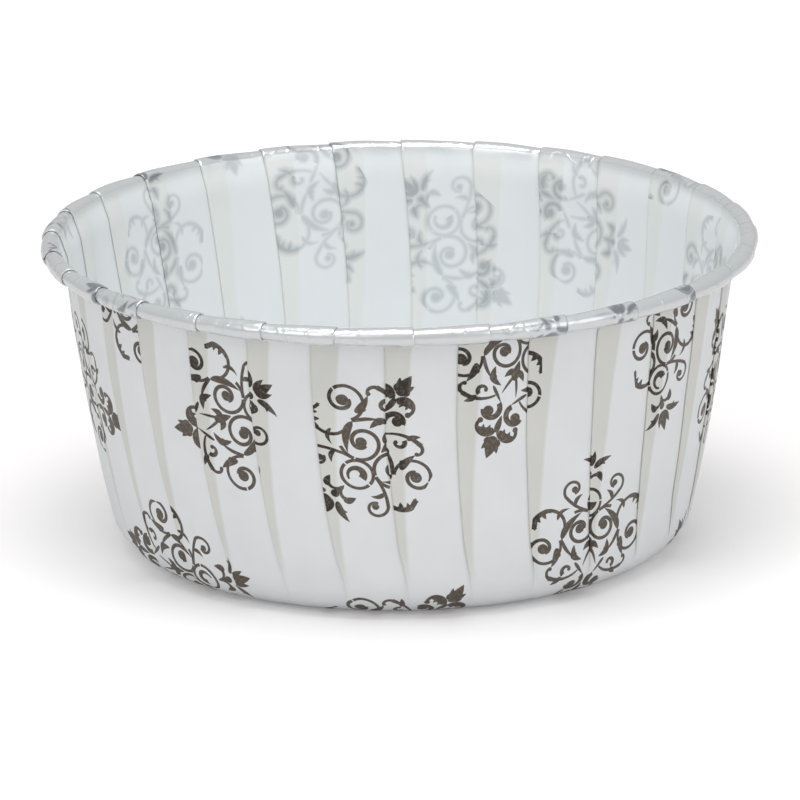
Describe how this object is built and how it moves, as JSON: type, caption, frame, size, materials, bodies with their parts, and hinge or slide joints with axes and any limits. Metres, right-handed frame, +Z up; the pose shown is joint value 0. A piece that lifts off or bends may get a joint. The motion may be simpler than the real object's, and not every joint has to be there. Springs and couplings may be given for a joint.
{
  "type": "paper baking cup",
  "caption": "Pleated paper baking cup with a flat base, a flaring wall of one-way folds and a rolled rim, printed with dark scrollwork.",
  "frame": {"origin": "centre of the underside of the base, on the table", "axes": "+Z up along the cup's axis, out of its mouth"},
  "size_m": [0.07, 0.07, 0.031],
  "materials": {
    "printed_paper": "coated white paper, satin, printed with dark brown scrollwork"
  },
  "bodies": {
    "root": {"baking_cup": "printed_paper"}
  },
  "joints": []
}
